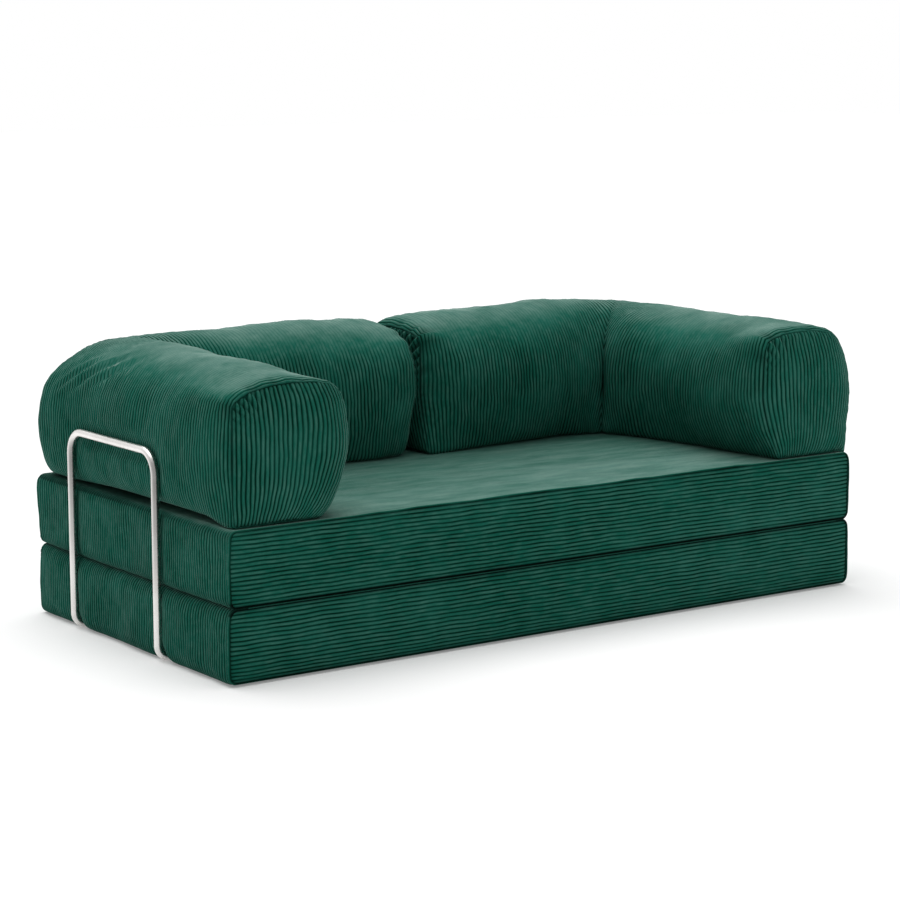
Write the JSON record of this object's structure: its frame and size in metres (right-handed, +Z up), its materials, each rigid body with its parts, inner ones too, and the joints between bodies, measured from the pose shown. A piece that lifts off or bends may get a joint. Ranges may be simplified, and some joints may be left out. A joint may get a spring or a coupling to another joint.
{
  "type": "sofa bed",
  "caption": "Low corduroy sofa that unfolds into a bed: stacked foam mattresses hinged in front, loose L-shaped bolsters as arms and back, and bent tube brackets.",
  "frame": {"origin": "on the floor, under the middle of the two stacked mattresses", "axes": "+Z up, front towards -Y, +X along the length, to the right as seen from the front"},
  "size_m": [2.0406, 1.0203, 0.75],
  "materials": {
    "corduroy": "matte",
    "foam": "matte",
    "wadding": "matte",
    "hinge_cloth": "matte",
    "zip_tape": "matte",
    "zip_metal": "satin",
    "steel_tube": "satin",
    "end_caps": "matte"
  },
  "bodies": {
    "lower_mattress": {"lower_cover": "corduroy", "lower_foam": "foam", "lower_zip": "zip_tape", "lower_hinge_leaf": "hinge_cloth"},
    "upper_mattress": {"upper_cover": "corduroy", "upper_foam": "foam", "upper_zip": "zip_tape", "upper_hinge_leaf": "hinge_cloth"},
    "left_bolster": {"left_arm_cover": "corduroy", "left_arm_wadding": "wadding", "left_arm_foam": "foam", "left_back_cover": "corduroy", "left_back_wadding": "wadding", "left_back_foam": "foam", "left_bolster_zip": "zip_tape"},
    "right_bolster": {"right_arm_cover": "corduroy", "right_arm_wadding": "wadding", "right_arm_foam": "foam", "right_back_cover": "corduroy", "right_back_wadding": "wadding", "right_back_foam": "foam", "right_bolster_zip": "zip_tape"},
    "left_support": {"left_bracket": "steel_tube", "left_bracket_caps": "end_caps"},
    "right_support": {"right_bracket": "steel_tube", "right_bracket_caps": "end_caps"},
    "back_left_support": {"back_left_bracket": "steel_tube", "back_left_bracket_caps": "end_caps"},
    "back_right_support": {"back_right_bracket": "steel_tube", "back_right_bracket_caps": "end_caps"},
    "lower_zip_runner": {"lower_zip_slider": "zip_metal"},
    "upper_zip_runner": {"upper_zip_slider": "zip_metal"},
    "left_bolster_zip_runner": {"left_bolster_zip_slider": "zip_metal"},
    "right_bolster_zip_runner": {"right_bolster_zip_slider": "zip_metal"}
  },
  "joints": [
    {"name": "unfold", "type": "hinge", "parent": "lower_mattress", "child": "upper_mattress", "pos_m": [0, -0.5, 0.188], "axis": [1, 0, 0], "range_deg": [0, 180]},
    {"name": "left_bolster_off", "type": "hinge", "parent": "upper_mattress", "child": "left_bolster", "pos_m": [0, 0.53, 0.376], "axis": [1, 0, 0], "range_deg": [-180, 0]},
    {"name": "right_bolster_off", "type": "hinge", "parent": "upper_mattress", "child": "right_bolster", "pos_m": [0, 0.53, 0.376], "axis": [1, 0, 0], "range_deg": [-180, 0]},
    {"name": "left_bracket_out", "type": "slide", "parent": "lower_mattress", "child": "left_support", "axis": [-1, 0, 0], "range_m": [0, 0.27]},
    {"name": "right_bracket_out", "type": "slide", "parent": "lower_mattress", "child": "right_support", "axis": [1, 0, 0], "range_m": [0, 0.27]},
    {"name": "back_left_bracket_out", "type": "slide", "parent": "lower_mattress", "child": "back_left_support", "axis": [0, 1, 0], "range_m": [0, 0.27]},
    {"name": "back_right_bracket_out", "type": "slide", "parent": "lower_mattress", "child": "back_right_support", "axis": [0, 1, 0], "range_m": [0, 0.27]},
    {"name": "lower_zip_open", "type": "slide", "parent": "lower_mattress", "child": "lower_zip_runner", "axis": [-1, 0, 0], "range_m": [0, 1.78]},
    {"name": "upper_zip_open", "type": "slide", "parent": "upper_mattress", "child": "upper_zip_runner", "axis": [-1, 0, 0], "range_m": [0, 1.78]},
    {"name": "left_bolster_zip_open", "type": "slide", "parent": "left_bolster", "child": "left_bolster_zip_runner", "axis": [-1, 0, 0], "range_m": [0, 0.57]},
    {"name": "right_bolster_zip_open", "type": "slide", "parent": "right_bolster", "child": "right_bolster_zip_runner", "axis": [1, 0, 0], "range_m": [0, 0.57]}
  ],
  "couplings": [
    {"joint": "left_bolster_off", "follows": "unfold", "ratio": -1},
    {"joint": "right_bolster_off", "follows": "unfold", "ratio": -1}
  ]
}
